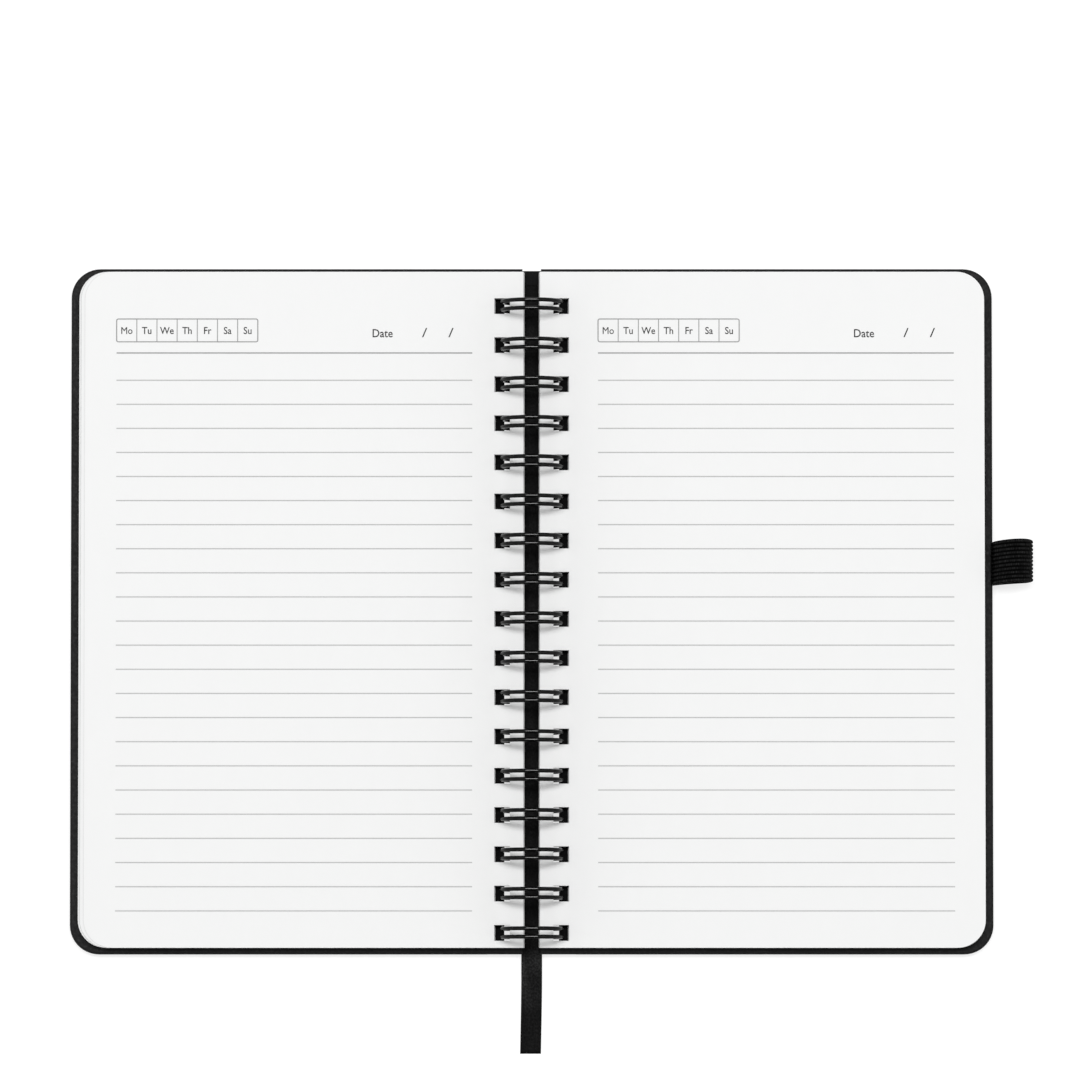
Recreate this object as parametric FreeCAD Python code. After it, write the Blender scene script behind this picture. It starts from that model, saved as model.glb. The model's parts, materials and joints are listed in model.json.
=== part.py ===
import FreeCAD, Part
import math
import os

from FreeCAD import Vector

# A pocket notebook lying open on a table. All sizes are in millimetres.
# +X is to the right across the spread, +Y to the head of the page, +Z up from the table.
# Pieces are drawn about the axis of the binding rings and moved to the row frame on export.

# Driving dimensions: the covers
COVER_HALF_W = 99.7  # from the ring axis to the fore-edge
COVER_H = 148.4
COVER_T = 3.0
CORNER_R = 6.3
SKIN_T = 0.4
BOARD_INNER_X = 10.0  # the stiff board stops here, short of the punched strip
STRIP_INNER_X = 2.0
STRIP_T = 0.6
STRIP_SKIN_T = 0.3
LINER_T = 0.4
LINER_MARGIN = 2.6
EDGE_R_BOTTOM = 0.8
EDGE_R_TOP = 0.5

# The double-loop wire
PITCH = 25.4 / 3
LOOPS = 17
FIRST_LOOP_Y = 65.85
RING_R = 6.4
WIRE_R = 0.45
RING_Z = 7.0
LEG_HALF_GAP = 0.9  # also the bend radius of a tip and of a root
SEAM_HALF_GAP_DEG = 1.5

# The punched holes
HOLE_H = 3.4
LEAF_HOLE_W = 3.38
LEAF_HOLE_INSET = 2.9
STRIP_HOLE_X = 3.6
STRIP_HOLE_W = 2.3

# The leaves
LEAF_W = 96.05
LEAF_H = 146.1
LEAF_Y = 0.25
LEAF_T = 0.1
LEAF_PITCH = 0.105
LEAF_CORNER_R = 6.0
LEAVES_A_SIDE = 32
TURNING_A_SIDE = 4  # leaves with a hinge of their own, counted from the top
STACK_Z = 3.1
LEAF_INNER_X = 1.8
DRIFT = 0.25  # how far the lowest leaf lies nearer the spine than the top one
# The top leaves on the left bow up a little, which draws in their fore-edges. They are drawn flat,
# and only as wide as they look from above.
DRAWN_IN = [1.3, 0.5, 0.5, 0.5]

# The elastic pen loop
PEN_R = 3.5
BAND_T = 0.9
BAND_W = 10.0
PEN_LOOP_Y = 10.7
PEN_PROUD = 8.7  # how far the loop stands out from the cover
TAIL_L = 12.0
TAIL_T = 1.0
NECK_INSET = 0.25

# The ribbon bookmark
RIBBON_W = 4.5
RIBBON_T = 0.2
RIBBON_ROUTE = [  # (y, z) from the glued head to the cut end
    (73.8, 2.1),
    (68.0, 2.1),
    (58.0, 1.6),
    (-74.0, 1.6),
    (-84.0, 0.15),
    (-95.6, 0.15),
]
TAB_W = 3.0
TAB_T = 0.2
TAB_X = (-1.9, 9.0)

# The box of everything but the ribbon is centred on the row's origin.
SPINE_X = -PEN_PROUD / 2

LOOP_YS = [FIRST_LOOP_Y - i * PITCH for i in range(LOOPS)]
STRIP_Z = COVER_T - STRIP_T
BOARD_Z = SKIN_T
BOARD_T = COVER_T - SKIN_T - LINER_T
PEN_X = COVER_HALF_W + PEN_PROUD - PEN_R - BAND_T
PEN_Z = PEN_R + BAND_T + 0.05


def box(x0, x1, y0, y1, z0, z1):
    return Part.makeBox(x1 - x0, y1 - y0, z1 - z0, Vector(x0, y0, z0))


def upright_edges(shape, x):
    """The vertical edges of a plate that stand at x."""
    return [
        e
        for e in shape.Edges
        if len(e.Vertexes) == 2
        and all(abs(v.X - x) < 1e-6 for v in e.Vertexes)
        and abs(e.Vertexes[0].Z - e.Vertexes[1].Z) > 1e-6
    ]


def flat_edges(shape, z, beyond_x=-math.inf):
    """The level edges of a plate at height z that reach past beyond_x."""
    return [
        e
        for e in shape.Edges
        if abs(e.BoundBox.ZMin - z) < 1e-6
        and abs(e.BoundBox.ZMax - z) < 1e-6
        and e.BoundBox.XMax > beyond_x
    ]


def plate(x0, x1, half_h, z0, z1, corner_r, mid_y=0.0):
    """A plate whose two corners at the fore-edge are round."""
    slab = box(x0, x1, mid_y - half_h, mid_y + half_h, z0, z1)
    return slab.makeFillet(corner_r, upright_edges(slab, x1))


def holes(x0, width):
    """One box for each punched hole, from x0 outwards."""
    return [
        box(x0, x0 + width, y - HOLE_H / 2, y + HOLE_H / 2, -1, 2 * RING_Z)
        for y in LOOP_YS
    ]


def mirrored(shape):
    """The same piece on the left of the ring axis."""
    return shape.mirror(Vector(0, 0, 0), Vector(1, 0, 0))


# Covers, drawn on the right of the ring axis
def board():
    return plate(
        BOARD_INNER_X,
        COVER_HALF_W - SKIN_T,
        COVER_H / 2 - SKIN_T,
        BOARD_Z,
        BOARD_Z + BOARD_T,
        CORNER_R - SKIN_T,
    )


def liner_blank():
    """The black end sheet before punching, thinner over the strip."""
    outer_x = COVER_HALF_W - LINER_MARGIN
    half_h = COVER_H / 2 - LINER_MARGIN
    sheet = plate(
        BOARD_INNER_X, outer_x, half_h, COVER_T - LINER_T, COVER_T, CORNER_R - LINER_MARGIN
    )
    strip_z = STRIP_Z + STRIP_SKIN_T
    strip = box(STRIP_INNER_X, BOARD_INNER_X, -half_h, half_h, strip_z, COVER_T)
    return sheet.fuse(strip).removeSplitter()


def cover_envelope():
    """The outside of a cover: a stiff slab with soft edges, and the thin strip at the spine."""
    wall_x = BOARD_INNER_X - SKIN_T
    slab = plate(wall_x, COVER_HALF_W, COVER_H / 2, 0, COVER_T, CORNER_R)
    slab = slab.makeFillet(EDGE_R_BOTTOM, flat_edges(slab, 0))
    slab = slab.makeFillet(EDGE_R_TOP, flat_edges(slab, COVER_T, wall_x + 1))
    strip = box(STRIP_INNER_X, BOARD_INNER_X, -COVER_H / 2, COVER_H / 2, STRIP_Z, COVER_T)
    ends = [
        e
        for e in flat_edges(strip, COVER_T)
        if abs(abs(e.BoundBox.YMin) - COVER_H / 2) < 1e-6 and e.BoundBox.YLength < 1e-6
    ]
    strip = strip.makeFillet(EDGE_R_TOP, ends)
    return slab.fuse(strip).removeSplitter()


def cover_skin():
    punched = holes(STRIP_HOLE_X, STRIP_HOLE_W)
    return cover_envelope().cut([board(), liner_blank(), *punched])


def cover_liner():
    return liner_blank().cut(holes(STRIP_HOLE_X, STRIP_HOLE_W))


def tail_space():
    """Where the flat ends of the elastic lie: let into the board, under the end sheet."""
    top = BOARD_Z + BOARD_T
    x0 = COVER_HALF_W - TAIL_L
    y0 = PEN_LOOP_Y - BAND_W / 2
    return box(x0, COVER_HALF_W, y0, y0 + BAND_W, top - TAIL_T, top)


# Pen loop
def teardrop(radius, reach):
    """The area of a band pulled to a point: a circle at the loop's centre and its two tangents.

    reach is the distance from the centre to the point, which lies in the cover's edge.
    """
    aim_x = COVER_HALF_W + NECK_INSET - PEN_X
    aim_z = BOARD_Z + BOARD_T - TAIL_T / 2 - PEN_Z
    towards = math.atan2(aim_z, aim_x)
    half = math.acos(radius / reach)

    def spot(r, angle):
        return Vector(PEN_X + r * math.cos(angle), 0, PEN_Z + r * math.sin(angle))

    tip = spot(reach, towards)
    first = spot(radius, towards + half)
    last = spot(radius, towards - half)
    far = spot(radius, towards + math.pi)
    edges = [
        Part.LineSegment(tip, first).toShape(),
        Part.Arc(first, far, last).toShape(),
        Part.LineSegment(last, tip).toShape(),
    ]
    return Part.Face(Part.Wire(edges))


def pen_loop():
    aim = math.hypot(
        COVER_HALF_W + NECK_INSET - PEN_X, BOARD_Z + BOARD_T - TAIL_T / 2 - PEN_Z
    )
    outer_r = PEN_R + BAND_T
    band = teardrop(outer_r, aim * outer_r / PEN_R).cut(teardrop(PEN_R, aim))
    band = band.extrude(Vector(0, BAND_W, 0))
    band.translate(Vector(0, PEN_LOOP_Y - BAND_W / 2, 0))
    cover_side = box(0, COVER_HALF_W, -COVER_H, COVER_H, -RING_Z, 2 * RING_Z)
    return band.cut(cover_side).fuse(tail_space()).removeSplitter()


# Wire
def ring_point(angle_deg, y):
    """A point on a ring, and the direction of its tangent there."""
    a = math.radians(angle_deg)
    place = Vector(RING_R * math.cos(a), y, RING_Z + RING_R * math.sin(a))
    return place, Vector(-math.sin(a), 0, math.cos(a))


def wire_disc(place, direction):
    return Part.Face(Part.Wire(Part.makeCircle(WIRE_R, place, direction)))


def bend(place, tangent, side, turn_deg):
    """A bend that leaves place along tangent and turns towards side (+1 or -1 along Y)."""
    centre = place + Vector(0, side * LEG_HALF_GAP, 0)
    axis = tangent.cross(Vector(0, side, 0))
    return wire_disc(place, tangent).revolve(centre, axis, turn_deg)


def wire_loop():
    """One double loop at Y 0: two legs, a hairpin tip, and a root half way to each neighbour."""
    bend_deg = math.degrees(math.atan((LEG_HALF_GAP + WIRE_R) / RING_R))
    root_deg = -90 + SEAM_HALF_GAP_DEG + bend_deg
    tip_deg = 270 - SEAM_HALF_GAP_DEG - bend_deg
    straight = PITCH / 2 - 2 * LEG_HALF_GAP
    axis = Vector(0, -1, 0)
    pieces = []
    for side in (1, -1):
        start, tangent = ring_point(root_deg, side * LEG_HALF_GAP)
        centre = Vector(0, side * LEG_HALF_GAP, RING_Z)
        pieces.append(wire_disc(start, tangent).revolve(centre, axis, tip_deg - root_deg))
        pieces.append(bend(start, tangent * -1, side, 90))
        root = start - tangent * LEG_HALF_GAP + Vector(0, side * LEG_HALF_GAP, 0)
        cut = wire_disc(root, Vector(0, side, 0))
        pieces.append(cut.extrude(Vector(0, side * straight, 0)))
    end, tangent = ring_point(tip_deg, -LEG_HALF_GAP)
    pieces.append(bend(end, tangent, 1, 180))
    return pieces[0].multiFuse(pieces[1:]).removeSplitter()


def wire_binding():
    """The loops, each meeting the next face to face half way between them."""
    loop = wire_loop()
    loops = []
    for y in LOOP_YS:
        placed = loop.copy()
        placed.translate(Vector(0, y, 0))
        loops.append(placed)
    return loops


# Leaves
def drift(depth):
    """The leaves follow the ring: a lower one lies nearer the spine."""
    return -DRIFT * depth / (LEAVES_A_SIDE - 1)


def leaf(drawn_in=0.0):
    outer_x = LEAF_INNER_X + LEAF_W - drawn_in
    sheet = plate(LEAF_INNER_X, outer_x, LEAF_H / 2, 0, LEAF_T, LEAF_CORNER_R, LEAF_Y)
    return sheet.cut(holes(LEAF_INNER_X + LEAF_HOLE_INSET, LEAF_HOLE_W))


def stack(drawn_in=()):
    """The leaves of a side, drawn on the right, from the top down."""
    blank = leaf()
    leaves = [leaf(d) for d in drawn_in]
    leaves += [blank.copy() for _ in range(LEAVES_A_SIDE - len(leaves))]
    for depth, placed in enumerate(leaves):
        z = STACK_Z + (LEAVES_A_SIDE - 1 - depth) * LEAF_PITCH
        placed.translate(Vector(drift(depth), 0, z))
    return leaves


# Ribbon
def route_wire():
    """The ribbon's route as straight runs joined by tangent arcs, and the arcs' radii."""
    points = [Vector(0, y, z) for y, z in RIBBON_ROUTE]
    edges = []
    radii = []
    start = points[0]
    for before, corner, after in zip(points, points[1:], points[2:]):
        come, leave = corner - before, after - corner
        shorter = min(come.Length, leave.Length)
        half_turn = come.getAngle(leave) / 2
        cut = 0.45 * shorter
        arc_in = corner - come.normalize() * cut
        arc_out = corner + leave.normalize() * cut
        radius = cut / math.tan(half_turn)
        to_centre = (arc_in + arc_out) * 0.5 - corner
        centre = corner + to_centre.normalize() * math.hypot(radius, cut)
        middle = centre + (corner - centre).normalize() * radius
        edges.append(Part.LineSegment(start, arc_in).toShape())
        edges.append(Part.Arc(arc_in, middle, arc_out).toShape())
        radii.append(radius)
        start = arc_out
    edges.append(Part.LineSegment(start, points[-1]).toShape())
    return Part.Wire(edges), radii


def ribbon():
    wire, radii = route_wire()
    print("ribbon length", round(wire.Length, 1), "arc radii", [round(r) for r in radii])
    lower = wire.copy()
    lower.translate(Vector(0, 0, -RIBBON_T / 2))
    upper = wire.copy()
    upper.translate(Vector(0, 0, RIBBON_T / 2))
    ends = [
        Part.LineSegment(lower.Vertexes[i].Point, upper.Vertexes[i].Point).toShape()
        for i in (0, -1)
    ]
    outline = Part.Wire(Part.__sortEdges__([*lower.Edges, *upper.Edges, *ends]))
    strip = Part.Face(outline).extrude(Vector(RIBBON_W, 0, 0))
    strip.translate(Vector(-RIBBON_W / 2, 0, 0))
    volume = wire.Length * RIBBON_W * RIBBON_T
    print("ribbon volume", round(strip.Volume, 2), "section times length", round(volume, 2))
    return strip


def ribbon_tab():
    """The tab over the ribbon's head, glued under the back cover's strip."""
    head_y, head_z = RIBBON_ROUTE[0]
    under = head_z + RIBBON_T / 2
    return box(*TAB_X, head_y - TAB_W, head_y, under, under + TAB_T)


def export(name, shape):
    solids = shape if isinstance(shape, list) else [shape]
    whole = Part.Compound(solids) if len(solids) > 1 else solids[0]
    whole.translate(Vector(SPINE_X, 0, 0))
    sound = all(s.isValid() for s in whole.Solids)
    print(name, len(whole.Solids), "solid(s)", round(whole.Volume, 1), "sound" if sound else "BAD")
    whole.exportStep("parts/" + name + ".step")


def main():
    os.makedirs("parts", exist_ok=True)

    export("front_board", mirrored(board()))
    export("front_cover_skin", mirrored(cover_skin()))
    export("front_liner", mirrored(cover_liner()))
    export("back_board", board().cut(tail_space()))
    export("back_cover_skin", cover_skin().cut(tail_space()))
    export("back_liner", cover_liner())

    export("wire_binding", wire_binding())
    export("pen_loop", pen_loop())
    export("ribbon_bookmark", ribbon())
    export("ribbon_tab", ribbon_tab())

    left = [mirrored(placed) for placed in stack(DRAWN_IN)]
    right = stack()
    for i in range(TURNING_A_SIDE):
        export(f"left_leaf_{i + 1}", left[i])
        export(f"right_leaf_{i + 1}", right[i])
    export("left_leaves", left[TURNING_A_SIDE:])
    export("right_leaves", right[TURNING_A_SIDE:])


main()
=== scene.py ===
# %% [markdown]
# # A wire-bound pocket notebook, built around a fixed frame
# The stiff parts (boards, liners, leaves) arrive ready made, in metres, and nothing here moves
# them. What Blender adds is everything that makes them look real: leatherette, printed ink, coated
# wire, a woven ribbon and a ribbed elastic loop, each in its own cell.

import json
import math

import bmesh
import bpy
from mathutils import Matrix, Vector

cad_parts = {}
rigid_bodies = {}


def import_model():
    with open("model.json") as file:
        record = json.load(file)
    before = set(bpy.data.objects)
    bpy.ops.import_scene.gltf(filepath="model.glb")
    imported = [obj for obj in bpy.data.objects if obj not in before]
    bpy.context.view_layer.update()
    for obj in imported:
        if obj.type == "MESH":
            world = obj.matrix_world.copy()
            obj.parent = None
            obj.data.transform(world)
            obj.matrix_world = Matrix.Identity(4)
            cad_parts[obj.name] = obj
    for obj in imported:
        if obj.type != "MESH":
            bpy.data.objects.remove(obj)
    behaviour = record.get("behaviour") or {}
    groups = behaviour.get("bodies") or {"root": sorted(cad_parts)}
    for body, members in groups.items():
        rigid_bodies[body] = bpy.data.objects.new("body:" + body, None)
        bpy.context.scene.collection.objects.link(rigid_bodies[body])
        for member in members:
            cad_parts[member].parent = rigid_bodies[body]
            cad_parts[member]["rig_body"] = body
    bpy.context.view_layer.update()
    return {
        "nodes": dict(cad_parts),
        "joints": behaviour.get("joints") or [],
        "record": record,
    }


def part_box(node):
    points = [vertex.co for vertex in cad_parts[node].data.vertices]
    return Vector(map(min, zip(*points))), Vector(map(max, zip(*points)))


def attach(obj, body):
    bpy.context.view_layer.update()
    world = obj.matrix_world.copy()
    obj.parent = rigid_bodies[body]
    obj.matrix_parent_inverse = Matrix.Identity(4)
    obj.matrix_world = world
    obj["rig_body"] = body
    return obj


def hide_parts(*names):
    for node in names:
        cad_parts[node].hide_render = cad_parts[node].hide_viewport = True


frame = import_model()
nodes = frame["nodes"]
MM = 0.001
print("pieces in the frame:", len(nodes))

# %% [markdown]
# Every hinge of the notebook turns about one line: the axis of the binding rings.
# Reading it from the first joint means that all the pieces below agree on where the spine is.

# %% The spine's axis
AXIS = Vector(frame["joints"][0]["pos_m"])
SPINE_X = AXIS.x
RING_Z = AXIS.z
print("ring axis at x", round(SPINE_X, 5), "z", round(RING_Z, 5))

# %% [markdown]
# ## Camera, floor and light
# A long lens from far off keeps the page edges parallel, as in a catalogue picture. The camera
# stands over the tail of the book, so each ring's arch leans a little towards the head.

# %% Camera
VIEW_WIDTH = 233.3 * MM
VIEW_CENTRE = Vector((SPINE_X + 1.8 * MM, 15.2 * MM, 6.0 * MM))
CAMERA_PLACE = Vector((VIEW_CENTRE.x, -100.0 * MM, 2.0))
SENSOR_MM = 36.0

camera_data = bpy.data.cameras.new("camera")
camera = bpy.data.objects.new("camera", camera_data)
bpy.context.scene.collection.objects.link(camera)
bpy.context.scene.camera = camera
camera.location = CAMERA_PLACE
aim = VIEW_CENTRE - CAMERA_PLACE
camera.rotation_euler = aim.to_track_quat("-Z", "Y").to_euler()
camera_data.sensor_width = SENSOR_MM
camera_data.lens = SENSOR_MM * aim.length / VIEW_WIDTH
camera_data.clip_end = 20.0

# %% [markdown]
# White on white needs a floor a little brighter than the paper: a light table, half lit from
# below, which keeps the book's own shadow faint. The dome is bright low down on the left and the
# right, and dark elsewhere, so black things stay black from above and only catch light on their
# flanks. One broad lamp over the head of the book gives the wire its highlight and soft shadow.

# %% Floor, dome and lamp
FLOOR_SIZE = 6.0
DOME_AT_SIDES = 1.64
DOME_ELSEWHERE = 0.12
DOME_FADES_FROM, DOME_FADES_TO = 0.25, 0.95  # heights on a dome of radius 1
LAMP_PLACE = (0, 0.45, 2.1)
LAMP_WIDTH = 1.7
LAMP_DEPTH = 0.45
LAMP_WATTS = 32.5


def new_object(name, mesh):
    """Puts a mesh into the scene as an object that sits at the origin."""
    obj = bpy.data.objects.new(name, mesh)
    bpy.context.scene.collection.objects.link(obj)
    return obj


def make_floor():
    mesh = bpy.data.meshes.new("floor")
    h = FLOOR_SIZE / 2
    mesh.from_pydata([(-h, -h, 0), (h, -h, 0), (h, h, 0), (-h, h, 0)], [], [(0, 1, 2, 3)])
    floor = new_object("floor", mesh)
    return floor


def make_lamp(name, place, width, depth, watts):
    data = bpy.data.lights.new(name, "AREA")
    data.shape = "RECTANGLE"
    data.size = width
    data.size_y = depth
    data.energy = watts
    lamp = bpy.data.objects.new(name, data)
    bpy.context.scene.collection.objects.link(lamp)
    lamp.location = place
    lamp.rotation_euler = (-Vector(place)).to_track_quat("-Z", "Y").to_euler()
    return lamp


floor = make_floor()
world = bpy.data.worlds.new("studio")
bpy.context.scene.world = world
world.use_nodes = True
dome = world.node_tree.nodes
link = world.node_tree.links.new
dome["Background"].inputs["Color"].default_value = (1, 1, 1, 1)
direction = dome.new("ShaderNodeTexCoord")
split = dome.new("ShaderNodeSeparateXYZ")
sideways = dome.new("ShaderNodeMath")
sideways.operation = "ABSOLUTE"
low_down = dome.new("ShaderNodeMapRange")
low_down.inputs["From Min"].default_value = DOME_FADES_FROM
low_down.inputs["From Max"].default_value = DOME_FADES_TO
low_down.inputs["To Min"].default_value = DOME_AT_SIDES
low_down.inputs["To Max"].default_value = 0.0
strength = dome.new("ShaderNodeMath")
strength.operation = "MULTIPLY_ADD"
strength.inputs[2].default_value = DOME_ELSEWHERE
link(direction.outputs["Generated"], split.inputs["Vector"])
link(split.outputs["X"], sideways.inputs[0])
link(split.outputs["Z"], low_down.inputs["Value"])
link(sideways.outputs[0], strength.inputs[0])
link(low_down.outputs["Result"], strength.inputs[1])
link(strength.outputs[0], dome["Background"].inputs["Strength"])
make_lamp("softbox", LAMP_PLACE, LAMP_WIDTH, LAMP_DEPTH, LAMP_WATTS)
bpy.context.scene.view_settings.view_transform = "Standard"

# %% [markdown]
# ## Materials
# A small toolbox keeps each finish short: it starts a material, drops in nodes with their inputs
# set, and joins sockets. Patterns on stiff pieces read Object coordinates in metres, so a scale of
# 1000 means one cell to the millimetre. Cloth has UV coordinates in millimetres instead.

# %% Node helpers
PER_MM = 1000.0


class Finish:
    """A material under construction: its node tree and its shader."""

    def __init__(self, name, grey=0.0, roughness=0.5):
        self.material = bpy.data.materials.new(name)
        self.material.use_nodes = True
        self.tree = self.material.node_tree
        self.shader = self.tree.nodes["Principled BSDF"]
        self.set("Base Color", (grey, grey, grey, 1))
        self.set("Roughness", roughness)

    def set(self, socket, value):
        """Sets one of the shader's own sockets."""
        self.shader.inputs[socket].default_value = value

    def node(self, kind, settings=None, **inputs):
        made = self.tree.nodes.new("ShaderNode" + kind)
        for key, value in (settings or {}).items():
            setattr(made, key, value)
        for key, value in inputs.items():
            made.inputs[key.replace("_", " ")].default_value = value
        return made

    def link(self, output, target):
        self.tree.links.new(output, target)

    def coordinates(self, stretch=(1, 1, 1), kind="Object"):
        """Object coordinates (or UV), stretched along each axis."""
        source = self.node("TexCoord")
        mapping = self.node("Mapping", Scale=stretch)
        self.link(source.outputs[kind], mapping.inputs["Vector"])
        return mapping.outputs["Vector"]

    def noise(self, vector, scale, detail=3.0, roughness=0.6):
        made = self.node("TexNoise", Scale=scale, Detail=detail, Roughness=roughness)
        self.link(vector, made.inputs["Vector"])
        return made.outputs["Fac"]

    def part(self, vector, axis):
        """One coordinate of a vector."""
        made = self.node("SeparateXYZ")
        self.link(vector, made.inputs["Vector"])
        return made.outputs[axis]

    def spread(self, value, low, high, start=0.3, stop=0.7):
        """Turns a 0 to 1 pattern into a value between low and high."""
        made = self.node("MapRange", From_Min=start, From_Max=stop, To_Min=low, To_Max=high)
        self.link(value, made.inputs["Value"])
        return made.outputs["Result"]

    def maths(self, operation, first, second=0.0):
        """One step of arithmetic on sockets or numbers."""
        made = self.node("Math", {"operation": operation})
        for socket, value in zip(made.inputs, (first, second)):
            if isinstance(value, bpy.types.NodeSocket):
                self.link(value, socket)
            else:
                socket.default_value = value
        return made.outputs[0]

    def tint(self, value, first, second):
        """A colour between two, following a 0 to 1 pattern."""
        made = self.node("Mix", {"data_type": "RGBA"})
        colours = [s for s in made.inputs if s.type == "RGBA"]
        colours[0].default_value = (*first, 1)
        colours[1].default_value = (*second, 1)
        self.link(value, made.inputs["Factor"])
        result = [s for s in made.outputs if s.type == "RGBA"][0]
        self.link(result, self.shader.inputs["Base Color"])

    def rough(self, value):
        self.link(value, self.shader.inputs["Roughness"])

    def bump(self, height, depth, below=None):
        """Adds relief of that depth in metres, on top of another bump if one is given."""
        made = self.node("Bump", Distance=depth, Strength=1.0)
        self.link(height, made.inputs["Height"])
        if below is not None:
            self.link(below.outputs["Normal"], made.inputs["Normal"])
        self.link(made.outputs["Normal"], self.shader.inputs["Normal"])
        return made


# %% [markdown]
# The covers are board wrapped in a thin leatherette. Its grain is a field of small pebbles: cells
# of a Voronoi pattern about half a millimetre across, softened by noise, with the creases left
# matter than the tops.

# %% Leatherette
def leatherette():
    f = Finish("leatherette")
    at = f.coordinates()
    cells = f.node("TexVoronoi", {"feature": "SMOOTH_F1"}, Scale=1.7 * PER_MM, Randomness=1.0)
    f.link(at, cells.inputs["Vector"])
    fine = f.noise(at, 3.2 * PER_MM, 4)
    cloud = f.noise(at, 0.04 * PER_MM, 2)
    f.tint(f.spread(cloud, 0, 1), (0.0045, 0.0045, 0.0048), (0.008, 0.008, 0.0083))
    f.rough(f.spread(cells.outputs["Distance"], 0.42, 0.62, 0.1, 0.6))
    pebbles = f.bump(cells.outputs["Distance"], -0.00006)
    f.bump(fine, 0.00003, pebbles)
    f.set("Specular IOR Level", 0.15)
    return f.material


# %% [markdown]
# Greyboard is pulped waste paper: speckled, and layered along its cut edge. The end sheets are dyed
# black paper. Leaf paper is smooth, so its fibres hardly show.

# %% Papers
def greyboard():
    f = Finish("greyboard", roughness=0.9)
    at = f.coordinates((1, 1, 4))
    f.tint(f.spread(f.noise(at, 1.2 * PER_MM, 5), 0, 1), (0.2, 0.18, 0.16), (0.38, 0.35, 0.31))
    f.bump(f.noise(at, 2.5 * PER_MM, 4), 0.00005)
    return f.material


def black_paper():
    f = Finish("black_end_paper", roughness=0.75)
    at = f.coordinates((1, 0.35, 1))
    fibres = f.noise(at, 1.6 * PER_MM, 5)
    f.tint(f.spread(fibres, 0, 1), (0.004, 0.004, 0.0043), (0.009, 0.009, 0.0093))
    f.set("Specular IOR Level", 0.09)
    f.bump(fibres, 0.00003)
    return f.material


PAPER = (0.835, 0.838, 0.836)
NOOK_SHADE = 0.72


def leaf_paper():
    f = Finish("leaf_paper", roughness=0.78)
    at = f.coordinates((1, 0.5, 1))
    cloud = f.noise(at, 0.25 * PER_MM, 3)
    # Painted shade: ambient occlusion darkens the paper's colour where leaves lie close over one
    # another, at the gutter, the edges and the corners.
    nook = f.node("AmbientOcclusion", {"samples": 8}, Distance=0.0016)
    open_to_light = f.spread(nook.outputs["AO"], 0, 1, 0.45, 0.97)
    shade = f.maths("MULTIPLY", f.spread(cloud, 0.97, 1), open_to_light)
    f.tint(shade, tuple(c * NOOK_SHADE for c in PAPER), PAPER)
    f.bump(f.noise(at, 2.0 * PER_MM, 5), 0.000012)
    f.set("Specular IOR Level", 0.25)
    return f.material


def ink(name, grey):
    """Offset ink soaks in unevenly, so it is mottled at the scale of the fibres."""
    f = Finish(name, roughness=0.7)
    mottle = f.noise(f.coordinates(), 4.0 * PER_MM, 3)
    dark, light = grey * 0.9, grey * 1.1
    f.tint(f.spread(mottle, 0, 1), (dark, dark, dark), (light, light, light))
    f.set("Specular IOR Level", 0.2)
    return f.material


# %% [markdown]
# The wire is steel with a black nylon coat: a low sheen with the faint orange peel of a melted-on
# coating. A glossy coat laid only where the wire faces up paints a highlight there: the lamp's
# reflection is real, but its place is set by the coat, so each arch's top shines and its flanks
# stay dull.

# %% Coated wire
def coated_wire():
    f = Finish("coated_wire", 0.0008)
    at = f.coordinates()
    f.rough(f.spread(f.noise(at, 0.9 * PER_MM, 2), 0.09, 0.15))
    f.bump(f.noise(at, 1.1 * PER_MM, 2), 0.000006)
    # Painted highlight: the glossy coat covers only faces that point up, so only the crests catch
    # the lamp.
    upwards = f.part(f.coordinates(kind="Normal"), "Z")
    f.link(f.spread(upwards, 0, 1, 0.86, 0.97), f.shader.inputs["Coat Weight"])
    f.set("Coat Roughness", 0.1)
    f.set("Coat IOR", 1.6)
    f.set("Specular IOR Level", 0.1)
    return f.material


# %% [markdown]
# Cloth follows its own UV map, in millimetres: U across the piece, V along it. Satin ribbon is
# long floats of warp with a fine tick where each crosses the weft. Its colour has a painted sheen,
# paler where it bends over the cover's edge, and painted shade, darker inside the rings and along
# its loose end. The elastic has its ribs as real geometry; its material draws the short wraps of
# covering yarn, with painted shade that keeps them light on the crowns and black in the valleys.

# %% Cloths
RIB_MM = 10 / 11
PAINTED_SHEEN_STARTS_MM = (145, 151)
PAINTED_SHEEN_ENDS_MM = (152, 161)


def satin():
    f = Finish("satin_ribbon")
    warp = f.noise(f.coordinates((9.0, 0.9, 1), "UV"), 1.0, 3)
    weft = f.noise(f.coordinates((2.4, 2.1, 1), "UV"), 1.0, 2)
    cloud = f.noise(f.coordinates((0.25, 0.08, 1), "UV"), 1.0, 1)
    ticks, patches = f.spread(weft, 0.3, 1, 0.4, 0.64), f.spread(cloud, 0.4, 1, 0.35, 0.65)
    woven = f.maths("MULTIPLY", ticks, patches)
    along = f.part(f.coordinates(kind="UV"), "Y")
    # Painted light: paler where the ribbon bends over the cover's edge, darker inside the rings and
    # towards its loose end.
    before, after = f.spread(along, 0.3, 1, *PAINTED_SHEEN_STARTS_MM), f.spread(along, 1, 0.25, *PAINTED_SHEEN_ENDS_MM)
    painted_sheen_and_shade = f.maths("MULTIPLY", before, after)
    f.tint(f.maths("MULTIPLY", woven, painted_sheen_and_shade), (0.0003, 0.0003, 0.0003), (0.04, 0.04, 0.0404))
    f.set("Specular IOR Level", 0.035)
    f.rough(f.spread(warp, 0.36, 0.6))
    under = f.bump(warp, 0.00003)
    f.bump(weft, 0.00005, under)
    return f.material


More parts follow.
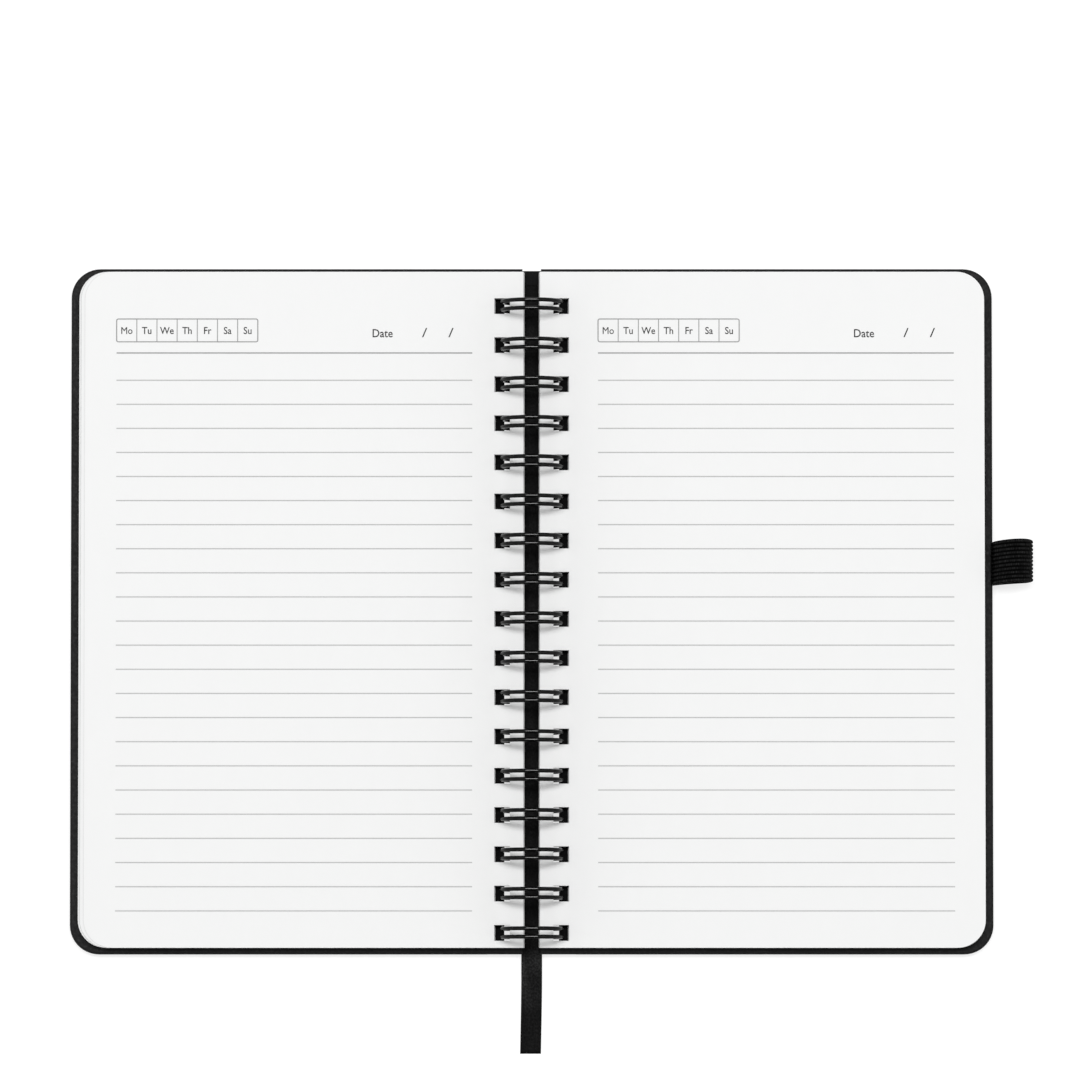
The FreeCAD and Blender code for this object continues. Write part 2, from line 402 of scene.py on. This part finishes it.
def elastic():
    f = Finish("ribbed_elastic", roughness=0.6)
    turn = f.node("Mapping", Rotation=(0, 0, math.pi / 2))
    f.link(f.coordinates(kind="UV"), turn.inputs["Vector"])
    wraps = f.node(
        "TexBrick",
        {"offset": 0.5},
        Color1=(1, 1, 1, 1),
        Color2=(0.35, 0.35, 0.35, 1),
        Mortar=(0, 0, 0, 1),
        Scale=1.0,
        Mortar_Size=0.09,
        Mortar_Smooth=0.9,
        Brick_Width=0.34,
        Row_Height=RIB_MM,
    )
    f.link(turn.outputs["Vector"], wraps.inputs["Vector"])
    wear_off = f.noise(f.coordinates((0.5, 0.5, 1), "UV"), 1.0, 2)
    turns = f.maths("MULTIPLY", f.part(f.coordinates(kind="UV"), "X"), math.pi / RIB_MM)
    # Painted shade: the yarn's colour is kept light on each rib's crown and fades to black in the
    # valleys between ribs.
    crown = f.spread(f.maths("ABSOLUTE", f.maths("SINE", turns)), 0, 1, 0.45, 0.95)
    yarn = f.maths("MULTIPLY", wraps.outputs["Color"], crown)
    wear_and_rib_shade = f.maths("MULTIPLY", f.spread(wear_off, 0.3, 1), yarn)
    f.tint(wear_and_rib_shade, (0.0002, 0.0002, 0.0002), (0.03, 0.03, 0.0302))
    f.set("Specular IOR Level", 0.03)
    under = f.bump(wraps.outputs["Color"], 0.00006)
    f.bump(f.noise(f.coordinates((9, 9, 1), "UV"), 1.0, 3), 0.00003, under)
    return f.material


def light_table():
    f = Finish("light_table", 0.35, 0.9)
    f.set("Emission Color", (1, 1, 1, 1))
    f.set("Emission Strength", 0.74)
    return f.material


# %% Mix the finishes
LEATHERETTE = leatherette()
GREYBOARD = greyboard()
BLACK_PAPER = black_paper()
LEAF_PAPER = leaf_paper()
RULE_INK = ink("pale_rule_ink", 0.47)
HEAD_INK = ink("head_rule_ink", 0.31)
TYPE_INK = ink("type_ink", 0.02)
COATED_WIRE = coated_wire()
SATIN = satin()
ELASTIC = elastic()


def wear(obj, material):
    """Gives an object that one material."""
    obj.data.materials.clear()
    obj.data.materials.append(material)


wear(floor, light_table())
for name, node in nodes.items():
    if "board" in name:
        wear(node, GREYBOARD)
    elif "skin" in name:
        wear(node, LEATHERETTE)
    elif "liner" in name or "tab" in name:
        wear(node, BLACK_PAPER)
    elif "lea" in name:
        wear(node, LEAF_PAPER)

# %% [markdown]
# ## Geometry Nodes, from a script
# A tree is built once, with named inputs for its sizes. A modifier runs it on an empty mesh, its
# inputs are set by the sockets' identifiers, and the result is copied out as a plain mesh, because
# an exported model can't carry live nodes.

# %% Tree helpers
class Tree:
    """A geometry node tree under construction."""

    def __init__(self, name, **inputs):
        self.group = bpy.data.node_groups.new(name, "GeometryNodeTree")
        face = self.group.interface
        face.new_socket(name="Geometry", in_out="INPUT", socket_type="NodeSocketGeometry")
        for key, kind in inputs.items():
            face.new_socket(name=key, in_out="INPUT", socket_type="NodeSocket" + kind)
        face.new_socket(name="Geometry", in_out="OUTPUT", socket_type="NodeSocketGeometry")
        self.start = self.group.nodes.new("NodeGroupInput")
        self.end = self.group.nodes.new("NodeGroupOutput")

    def node(self, kind, settings=None, **inputs):
        made = self.group.nodes.new(kind)
        for key, value in (settings or {}).items():
            setattr(made, key, value)
        for key, value in inputs.items():
            socket = made.inputs[key.replace("_", " ")]
            if isinstance(value, bpy.types.NodeSocket):
                self.group.links.new(value, socket)
            else:
                socket.default_value = value
        return made

    def given(self, key):
        return self.start.outputs[key]

    def finish(self, geometry, material):
        """Ends the tree: real geometry, then its material."""
        real = self.node("GeometryNodeRealizeInstances", Geometry=geometry)
        dressed = self.node("GeometryNodeSetMaterial", Geometry=real.outputs[0])
        dressed.inputs["Material"].default_value = material
        self.group.links.new(dressed.outputs[0], self.end.inputs[0])


def grow(name, tree, **values):
    """Runs a tree with those values and returns the result as a plain mesh."""
    holder = new_object(name, bpy.data.meshes.new(name))
    modifier = holder.modifiers.new("grow", "NODES")
    modifier.node_group = tree.group
    for item in tree.group.interface.items_tree:
        if item.in_out == "INPUT" and item.name in values:
            modifier[item.identifier] = values[item.name]
    seen = holder.evaluated_get(bpy.context.evaluated_depsgraph_get())
    mesh = bpy.data.meshes.new_from_object(seen)
    bpy.data.objects.remove(holder)
    mesh.name = name
    return mesh


# %% [markdown]
# ## The wire
# Double-loop wire is one long wire bent to and fro: up one leg, round a hairpin tip, down the other
# leg, and on along the root to the next pair. So the path of a single pair is enough. It is worked
# out from arcs, then repeated along the spine and given its thickness by Geometry Nodes.

# %% Sizes read from the frame
low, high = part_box("wire_binding")
WIRE_R = 0.45 * MM
LEG_HALF_GAP = 0.9 * MM
PITCH = 25.4 / 3 * MM  # three loops to the inch
WIRE_SIDES = 14
WELD = 0.02 * MM
RING_R = (high.x - low.x) / 2 - WIRE_R
LOOPS = round((high.y - low.y) / PITCH)
FIRST_LOOP_Y = high.y - PITCH / 2
SEAM_HALF_GAP = math.radians(1.5)
print(LOOPS, "double loops of ring radius", round(RING_R / MM, 2), "mm")


# %% The path of one double loop
def arc(steps, start, stop, place):
    """Points of place(angle) at even angles."""
    return [place(start + (stop - start) * i / steps) for i in range(steps + 1)]


def loop_path():
    """From the middle of one root bridge to the middle of the next, about Y 0."""
    bend = math.atan((LEG_HALF_GAP + WIRE_R) / RING_R)
    root = -math.pi / 2 + SEAM_HALF_GAP + bend
    tip = 1.5 * math.pi - SEAM_HALF_GAP - bend

    def on_ring(y):
        return lambda a: AXIS + Vector((RING_R * math.cos(a), y - AXIS.y, RING_R * math.sin(a)))

    def tangent(a):
        return Vector((-math.sin(a), 0, math.cos(a)))

    root_centre = on_ring(2 * LEG_HALF_GAP)(root)
    tip_centre = on_ring(0)(tip)

    def root_bend(a):
        across = Vector((0, LEG_HALF_GAP * math.cos(a), 0))
        return root_centre - tangent(root) * LEG_HALF_GAP * math.sin(a) - across

    def tip_bend(a):
        across = Vector((0, LEG_HALF_GAP * math.cos(a), 0))
        return tip_centre + tangent(tip) * LEG_HALF_GAP * math.sin(a) + across

    straight = Vector((0, PITCH / 2 - 2 * LEG_HALF_GAP, 0))
    half = [root_centre - tangent(root) * LEG_HALF_GAP + straight]
    half += arc(8, math.pi / 2, 0, root_bend)
    half += arc(72, root, tip, on_ring(LEG_HALF_GAP))[1:]
    half += arc(8, 0, math.pi / 2, tip_bend)[1:]
    back = [Vector((p.x, -p.y, p.z)) for p in reversed(half[:-1])]
    return half + back


def path_object(name, points):
    data = bpy.data.curves.new(name, "CURVE")
    data.dimensions = "3D"
    spline = data.splines.new("POLY")
    spline.points.add(len(points) - 1)
    for point, place in zip(spline.points, points):
        point.co = (*place, 1)
    return new_object(name, data)


# %% Repeat it and give it its thickness
def wire_tree(path, material):
    tree = Tree("wire", Loops="Int", Pitch="Float", First="Float", Radius="Float")
    source = tree.node("GeometryNodeObjectInfo", {"transform_space": "ORIGINAL"})
    source.inputs["Object"].default_value = path
    start = tree.node("ShaderNodeCombineXYZ", Y=tree.given("First"))
    down = tree.node("ShaderNodeMath", {"operation": "MULTIPLY"})
    tree.group.links.new(tree.given("Pitch"), down.inputs[0])
    down.inputs[1].default_value = -1.0
    step = tree.node("ShaderNodeCombineXYZ", Y=down.outputs[0])
    line = tree.node(
        "GeometryNodeMeshLine",
        Count=tree.given("Loops"),
        Start_Location=start.outputs[0],
        Offset=step.outputs[0],
    )
    loops = tree.node(
        "GeometryNodeInstanceOnPoints",
        Points=line.outputs[0],
        Instance=source.outputs["Geometry"],
    )
    paths = tree.node("GeometryNodeRealizeInstances", Geometry=loops.outputs[0])
    circle = tree.node(
        "GeometryNodeCurvePrimitiveCircle", Resolution=WIRE_SIDES, Radius=tree.given("Radius")
    )
    tube = tree.node(
        "GeometryNodeCurveToMesh", Curve=paths.outputs[0], Profile_Curve=circle.outputs[0]
    )
    welded = tree.node("GeometryNodeMergeByDistance", Geometry=tube.outputs[0], Distance=WELD)
    smooth = tree.node("GeometryNodeSetShadeSmooth", Geometry=welded.outputs[0])
    tree.finish(smooth.outputs[0], material)
    return tree


def close_ends(mesh):
    """Caps the two cut ends of the wire and turns every face outwards."""
    bm = bmesh.new()
    bm.from_mesh(mesh)
    open_edges = [e for e in bm.edges if e.is_boundary]
    bmesh.ops.holes_fill(bm, edges=open_edges, sides=0)
    bmesh.ops.recalc_face_normals(bm, faces=bm.faces)
    bm.to_mesh(mesh)
    bm.free()


loop = path_object("loop_path", loop_path())
wire_mesh = grow(
    "wire",
    wire_tree(loop, COATED_WIRE),
    Loops=LOOPS,
    Pitch=PITCH,
    First=FIRST_LOOP_Y,
    Radius=WIRE_R,
)
bpy.data.objects.remove(loop)
close_ends(wire_mesh)
wire = new_object("wire", wire_mesh)
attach(wire, "back_cover")
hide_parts("wire_binding")
print("wire faces", len(wire_mesh.polygons))

# %% [markdown]
# ## Print
# A page is ruled by machine: one dark rule under the heading, then pale rules at one pitch, a box
# of seven days and a place for the date. Rules and cells are the same thing, bars repeated along a
# line, so one tree makes them all. Each bar is a real, very thin slab of ink, partly sunk into the
# paper.

# %% Sizes of the print
HEAD_RULE_Y = 55.68 * MM
FIRST_RULE_Y = 49.76 * MM
RULE_PITCH = 5.2111 * MM
RULES = 23
RULE_LENGTH = 76.9 * MM
RULE_WIDTH = 0.22 * MM
HEAD_RULE_WIDTH = 0.26 * MM
INK_DEPTH = 0.03 * MM
INK_RISE = 0.15 * INK_DEPTH  # how far a slab's middle lies above the paper
CELL_LINE_WIDTH = 0.8 * RULE_WIDTH
CELL_LINE_DEPTH = 0.9 * INK_DEPTH
FRAME_R_OUT = 0.5 * MM
FRAME_R_IN = 0.3 * MM
LEFT_RULES_X = SPINE_X - 89.75 * MM
RIGHT_RULES_X = SPINE_X + 14.35 * MM
DAYS = ("Mo", "Tu", "We", "Th", "Fr", "Sa", "Su")
DAY_WIDTH = 4.36 * MM
DAY_BOX_LOW = 58.1 * MM
DAY_BOX_HIGH = 63.05 * MM
DAY_CAP = 1.5 * MM
DAY_BASELINE = 59.8 * MM
TYPE_WEIGHT = 0.006  # how much fatter than the font, as a share of its size
TYPE_CONDENSE = 0.9
DATE_FROM_START = 55.2 * MM
DATE_CAP = 1.75 * MM
DATE_BASELINE = 59.1 * MM
SLASHES_FROM_START = (66.6 * MM, 72.3 * MM)
SLASH_SIZE = (0.27 * MM, 2.0 * MM, INK_DEPTH)
SLASH_LEAN = 0.42


# %% Bars along a line
def bar_tree():
    tree = Tree("bars", Count="Int", Start="Vector", Step="Vector", Size="Vector", Ink="Material")
    line = tree.node(
        "GeometryNodeMeshLine",
        Count=tree.given("Count"),
        Start_Location=tree.given("Start"),
        Offset=tree.given("Step"),
    )
    bar = tree.node("GeometryNodeMeshCube", Size=tree.given("Size"))
    row = tree.node("GeometryNodeInstanceOnPoints", Points=line.outputs[0], Instance=bar.outputs[0])
    tree.finish(row.outputs[0], RULE_INK)
    dressed = tree.end.inputs[0].links[0].from_node
    tree.group.links.new(tree.given("Ink"), dressed.inputs["Material"])
    return tree


BARS = bar_tree()


def bars(count, start, step, size, material):
    return grow("bars", BARS, Count=count, Start=start, Step=step, Size=size, Ink=material)


# %% Rounded frame of the day box
def ring_of_corners(x0, x1, y0, y1, radius, z, steps=5):
    """The outline of a rectangle with round corners, counter-clockwise."""
    centres = ((x1 - radius, y1 - radius), (x0 + radius, y1 - radius))
    centres += ((x0 + radius, y0 + radius), (x1 - radius, y0 + radius))
    points = []
    for quarter, (cx, cy) in enumerate(centres):
        for i in range(steps + 1):
            a = (quarter + i / steps) * math.pi / 2
            points.append((cx + radius * math.cos(a), cy + radius * math.sin(a), z))
    return points


def day_frame(x0):
    """A closed band of ink round the seven cells."""
    x1 = x0 + DAY_WIDTH * len(DAYS)
    half, top, bottom = RULE_WIDTH / 2, INK_DEPTH / 2, -INK_DEPTH / 2
    outer = (x0 - half, x1 + half, DAY_BOX_LOW - half, DAY_BOX_HIGH + half, FRAME_R_OUT)
    inner = (x0 + half, x1 - half, DAY_BOX_LOW + half, DAY_BOX_HIGH - half, FRAME_R_IN)
    rings = [
        ring_of_corners(*outer, top),
        ring_of_corners(*inner, top),
        ring_of_corners(*inner, bottom),
        ring_of_corners(*outer, bottom),
    ]
    n = len(rings[0])
    faces = [
        (r * n + i, r * n + (i + 1) % n, (r + 1) % 4 * n + (i + 1) % n, (r + 1) % 4 * n + i)
        for r in range(4)
        for i in range(n)
    ]
    mesh = bpy.data.meshes.new("day_frame")
    mesh.from_pydata([p for ring in rings for p in ring], [], faces)
    mesh.materials.append(HEAD_INK)
    return mesh


# %% [markdown]
# Type is set with Blender's own font. A word's size is found by measuring a capital letter first,
# because a font's size says nothing exact about how tall its letters are.

# %% Type
def text_mesh(text, size, align):
    """A line of type as a slab of ink. An M keeps the font's weight: its strokes would cross."""
    data = bpy.data.curves.new("type", "FONT")
    data.body = text
    data.size = size
    data.align_x = align
    data.extrude = INK_DEPTH / 2
    data.offset = 0 if "M" in text else TYPE_WEIGHT * size
    data.resolution_u = 3
    holder = new_object("type", data)
    seen = holder.evaluated_get(bpy.context.evaluated_depsgraph_get())
    mesh = bpy.data.meshes.new_from_object(seen)
    bpy.data.objects.remove(holder)
    return mesh


def capital_height():
    mesh = text_mesh("H", 1.0, "LEFT")
    return max(v.co.y for v in mesh.vertices)


CAPITAL = capital_height()


def typeset(text, cap, x, y, align="LEFT"):
    """Type with capitals of height cap, starting at or centred on x, with its baseline at y."""
    mesh = text_mesh(text, cap / CAPITAL, align)
    mesh.transform(Matrix.Translation((x, y, 0)) @ Matrix.Diagonal((TYPE_CONDENSE, 1, 1, 1)))
    mesh.materials.clear()
    mesh.materials.append(TYPE_INK)
    return mesh


def slash(x):
    """One leaning stroke between the parts of a date."""
    mesh = bars(1, (0, 0, 0), (0, 0, 0), SLASH_SIZE, TYPE_INK)
    lean = Matrix.Identity(4)
    lean[0][1] = SLASH_LEAN
    mesh.transform(Matrix.Translation((x, DATE_BASELINE + SLASH_SIZE[1] / 2, 0)) @ lean)
    return mesh


# %% A whole page of print
def page_print(start_x):
    """All the print of one page, with its rules starting at start_x, as meshes at height 0."""
    middle = start_x + RULE_LENGTH / 2
    still = (0, 0, 0)
    parts = [
        bars(
            1,
            (middle, HEAD_RULE_Y, 0),
            still,
            (RULE_LENGTH, HEAD_RULE_WIDTH, INK_DEPTH),
            HEAD_INK,
        ),
        bars(
            RULES,
            (middle, FIRST_RULE_Y, 0),
            (0, -RULE_PITCH, 0),
            (RULE_LENGTH, RULE_WIDTH, INK_DEPTH),
            RULE_INK,
        ),
        bars(
            len(DAYS) - 1,
            (start_x + DAY_WIDTH, (DAY_BOX_LOW + DAY_BOX_HIGH) / 2, 0),
            (DAY_WIDTH, 0, 0),
            (CELL_LINE_WIDTH, DAY_BOX_HIGH - DAY_BOX_LOW, CELL_LINE_DEPTH),
            HEAD_INK,
        ),
        day_frame(start_x),
        typeset("Date", DATE_CAP, start_x + DATE_FROM_START, DATE_BASELINE),
    ]
    for i, day in enumerate(DAYS):
        parts.append(
            typeset(day, DAY_CAP, start_x + DAY_WIDTH * (i + 0.5), DAY_BASELINE, "CENTER")
        )
    parts += [slash(start_x + along) for along in SLASHES_FROM_START]
    return parts


def joined(name, meshes):
    """One mesh from several, keeping their materials."""
    bm = bmesh.new()
    materials = []
    for mesh in meshes:
        first = len(bm.faces)
        bm.from_mesh(mesh)
        bm.faces.ensure_lookup_table()
        for face in bm.faces[first:]:
            material = mesh.materials[face.material_index]
            if material not in materials:
                materials.append(material)
            face.material_index = materials.index(material)
    bmesh.ops.remove_doubles(bm, verts=bm.verts, dist=1e-7)
    bmesh.ops.recalc_face_normals(bm, faces=bm.faces)
    whole = bpy.data.meshes.new(name)
    bm.to_mesh(whole)
    bm.free()
    for material in materials:
        whole.materials.append(material)
    return whole


def half_turn():
    """A half turn about the ring axis, which is how a page gets to the other side."""
    there = Matrix.Translation(AXIS)
    return there @ Matrix.Rotation(math.pi, 4, "Y") @ there.inverted()


# %% [markdown]
# A leaf has a right-hand page on one face and a left-hand page on the other. The hidden face is
# printed as it will look once the leaf has been turned: set out on the other side of the spine,
# then carried back with half a turn about the ring axis.

# %% Print on every leaf
def leaf_print(node):
    """The print on both faces of a leaf, or on the two outer faces of a stack."""
    low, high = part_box(node)
    top, under = high.z + INK_RISE, low.z - INK_RISE
    shown, hidden = page_print(LEFT_RULES_X), page_print(RIGHT_RULES_X)
    if node.startswith("right"):
        shown, hidden = hidden, shown
    turned_z = 2 * RING_Z - under
    for mesh in shown:
        mesh.transform(Matrix.Translation((0, 0, top)))
    for mesh in hidden:
        mesh.transform(half_turn() @ Matrix.Translation((0, 0, turned_z)))
    piece = new_object(node + "_print", joined(node + "_print", shown + hidden))
    return piece


for name in sorted(n for n in nodes if "leaf" in n or "leaves" in n):
    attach(leaf_print(name), nodes[name]["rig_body"])

# %% [markdown]
# ## The ribbon
# A ribbon is limp: it follows the hollow inside the rings, comes out at the tail, drops to the
# table and lies there. Its line is a smooth spline near a few listed points. The strip is
# lofted along it, with a thicker woven edge on each side and a square-cut end.

# %% Ribbon
RIBBON_W = 4.5 * MM
RIBBON_T = 0.2 * MM
RIBBON_ROUTE = [
    (SPINE_X, 0.0738, 0.0021),
    (SPINE_X, 0.0680, 0.0021),
    (SPINE_X, 0.0580, 0.0016),
    (SPINE_X, -0.0740, 0.0016),
    (SPINE_X, -0.0840, 0.00015),
    (SPINE_X - 0.25 * MM, -0.0956, 0.00015),
]


def spline_points(route, steps):
    """Points read from a smooth spline that follows a route."""
    data = bpy.data.curves.new("route", "CURVE")
    data.dimensions = "3D"
    spline = data.splines.new("NURBS")
    spline.points.add(len(route) - 1)
    for point, place in zip(spline.points, route):
        point.co = (*place, 1)
    spline.order_u = 3
    spline.use_endpoint_u = True
    spline.resolution_u = steps
    holder = new_object("route", data)
    mesh = bpy.data.meshes.new_from_object(holder)
    bpy.data.objects.remove(holder)
    return [v.co.copy() for v in mesh.vertices]


def ribbon_section():
    """Half-width shares and heights of the strip's outline, round from the left edge."""
    edge, body = RIBBON_T / 2, RIBBON_T * 0.36
    top = [(-1.0, 0.0), (-0.985, edge * 0.8), (-0.95, edge), (-0.91, edge), (-0.87, body)]
    top += [(-0.87 + 1.74 * i / 8, body) for i in range(1, 8)]
    top += [(-x, z) for x, z in reversed(top[:5])]
    return top + [(x, -z) for x, z in reversed(top[1:-1])]


def loft(name, rings, across, along, material):
    """A closed skin over rings of points. Its UV map is across, round a ring, by along."""
    n = len(rings[0])
    verts = [p for ring in rings for p in ring]
    faces = []
    corners = []
    for r in range(len(rings) - 1):
        for i in range(n):
            j = (i + 1) % n
            faces.append((r * n + i, r * n + j, (r + 1) * n + j, (r + 1) * n + i))
            u0, u1, v0, v1 = across[i], across[i + 1], along[r], along[r + 1]
            corners += [(u0, v0), (u1, v0), (u1, v1), (u0, v1)]
    faces.append(tuple(reversed(range(n))))
    faces.append(tuple(range(len(verts) - n, len(verts))))
    corners += [(0.0, 0.0)] * (2 * n)
    mesh = bpy.data.meshes.new(name)
    mesh.from_pydata(verts, [], faces)
    layer = mesh.uv_layers.new(name="cloth")
    layer.data.foreach_set("uv", [c for corner in corners for c in corner])
    bm = bmesh.new()
    bm.from_mesh(mesh)
    bmesh.ops.recalc_face_normals(bm, faces=bm.faces)
    bm.to_mesh(mesh)
    bm.free()
    mesh.polygons.foreach_set("use_smooth", [len(p.vertices) == 4 for p in mesh.polygons])
    mesh.materials.append(material)
    return mesh


def lengths(points, closed=False):
    """Distance along a line to each of its points, in millimetres."""
    total, out = 0.0, [0.0]
    ends = points[1:] + (points[:1] if closed else [])
    for a, b in zip(points, ends):
        total += (b - a).length / MM
        out.append(total)
    return out


def make_ribbon():
    line = spline_points(RIBBON_ROUTE, 24)
    section = ribbon_section()
    along = lengths(line)
    rings = []
    for i, place in enumerate(line):
        ahead = line[min(i + 1, len(line) - 1)] - line[max(i - 1, 0)]
        up = Vector((1, 0, 0)).cross(ahead).normalized()
        up = up if up.z > 0 else -up
        rings.append([place + Vector((x * RIBBON_W / 2, 0, 0)) + up * z for x, z in section])
    across = lengths([Vector((x * RIBBON_W / 2, z, 0)) for x, z in section], True)
    ribbon = new_object("ribbon", loft("ribbon", rings, across, along, SATIN))
    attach(ribbon, "back_cover")
    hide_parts("ribbon_bookmark")
    return ribbon


make_ribbon()

# %% [markdown]
# ## The pen loop
# Ribbed elastic is parallel rubber cords wrapped in yarn. Across the band its outline is a row of
# round ribs; along the band it runs out of the cover, round the pen and back in. Lofting the
# ribbed outline round that path makes the ribs real, and a ripple along each rib stands for the
# wraps.

# %% Pen loop
grip = [m for m in frame["record"]["mounts"] if m["name"] == "pen_loop_grip"][0]
PEN_CENTRE = Vector(grip["pos_m"])
PEN_R = grip["dims"]["r_mm"] * MM
BAND_W = grip["dims"]["length_mm"] * MM
COVER_EDGE_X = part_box("back_cover_skin")[1].x
BAND_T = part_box("pen_loop")[1].x - PEN_CENTRE.x - PEN_R
TAIL_Z = 2.1 * MM
NECK_INSET = 0.25 * MM
NECK_STEPS = 12
RIBS = 11
STEPS_A_RIB = 6
# How far the outline stands from the band's middle, as shares of its thickness
OUTSIDE_VALLEY, OUTSIDE_RISE = 0.16, 0.27
INSIDE_VALLEY, INSIDE_RISE = 0.3, 0.18
WRAP_PITCH = 0.75 * MM
RIPPLE = 0.07 * MM
NARROWING = 0.935  # elastic narrows as it stretches
SAG = 0.23 * MM
LIFT = 0.28 * MM  # the band leans: its far end is higher up the page than its neck
CORNER_PINCH = 0.035  # its far corners are worn round
CORNER_POWER = 12


def band_path(steps=170):
    """Out of the cover, round the pen and back: two tangents and the arc between them."""
    neck = Vector((COVER_EDGE_X + NECK_INSET, 0, TAIL_Z))
    centre = Vector((PEN_CENTRE.x, 0, PEN_CENTRE.z))
    radius = PEN_R + BAND_T / 2
    towards = neck - centre
    heading = math.atan2(towards.z, towards.x)
    half = math.acos(PEN_R / towards.length)
    reach = radius / math.cos(half)

    def spot(r, a):
        return centre + Vector((r * math.cos(a), 0, r * math.sin(a)))

    tip = spot(reach, heading)
    turn = arc(steps, heading + half, heading + 2 * math.pi - half, lambda a: spot(radius, a))
    lead = [tip.lerp(turn[0], t / NECK_STEPS) for t in range(NECK_STEPS)]
    tail = [turn[-1].lerp(tip, t / NECK_STEPS) for t in range(1, NECK_STEPS + 1)]
    return [p for p in lead + turn + tail if p.x >= COVER_EDGE_X - BAND_T * 0.1]


def band_section(along):
    """Outline across the band: round ribs outside, shallower ones inside.

    Each wrap of yarn swells a rib for half of its pitch, and neighbouring ribs swell in turn, so
    the surface is laid like bricks.
    """
    rib = BAND_W / RIBS
    outside, inside = [], []
    for k in range(RIBS):
        phase = along * MM / WRAP_PITCH * 2 * math.pi + math.pi * k
        swell = RIPPLE * math.tanh(2.5 * math.sin(phase))
        for s in range(STEPS_A_RIB):
            y = -BAND_W / 2 + rib * (k + s / STEPS_A_RIB)
            crown = math.sqrt(abs(math.sin(math.pi * s / STEPS_A_RIB)))
            outside.append((y, BAND_T * (OUTSIDE_VALLEY + OUTSIDE_RISE * crown) + swell * crown))
            inside.append((y, -BAND_T * (INSIDE_VALLEY + INSIDE_RISE * crown)))
    outside.append((BAND_W / 2, BAND_T * OUTSIDE_VALLEY))
    inside.append((BAND_W / 2, -BAND_T * INSIDE_VALLEY))
    return outside + list(reversed(inside))


def make_pen_loop():
    path = band_path()
    along = lengths(path)
    centre = Vector((PEN_CENTRE.x, 0, PEN_CENTRE.z))
    reach = max(p.x for p in path) - COVER_EDGE_X
    rings = []
    for i, place in enumerate(path):
        ahead = path[min(i + 1, len(path) - 1)] - path[max(i - 1, 0)]
        out = ahead.cross(Vector((0, 1, 0))).normalized()
        if out.dot(place - centre) < 0:
            out = -out
        far = min(1.0, max(0.0, (place.x - COVER_EDGE_X) / reach))
        middle = PEN_CENTRE.y - SAG + LIFT * (2 * math.sin(far * math.pi * 0.6) - 1)
        pinch = NARROWING - CORNER_PINCH * far**CORNER_POWER
        section = band_section(along[i])
        rings.append([place + Vector((0, middle + y * pinch, 0)) + out * h for y, h in section])
    flat = [Vector((y, 0, 0)) for y, _ in band_section(0)]
    band = new_object("pen_band", loft("pen_band", rings, lengths(flat, True), along, ELASTIC))
    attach(band, "back_cover")
    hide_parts("pen_loop")
    return band


make_pen_loop()
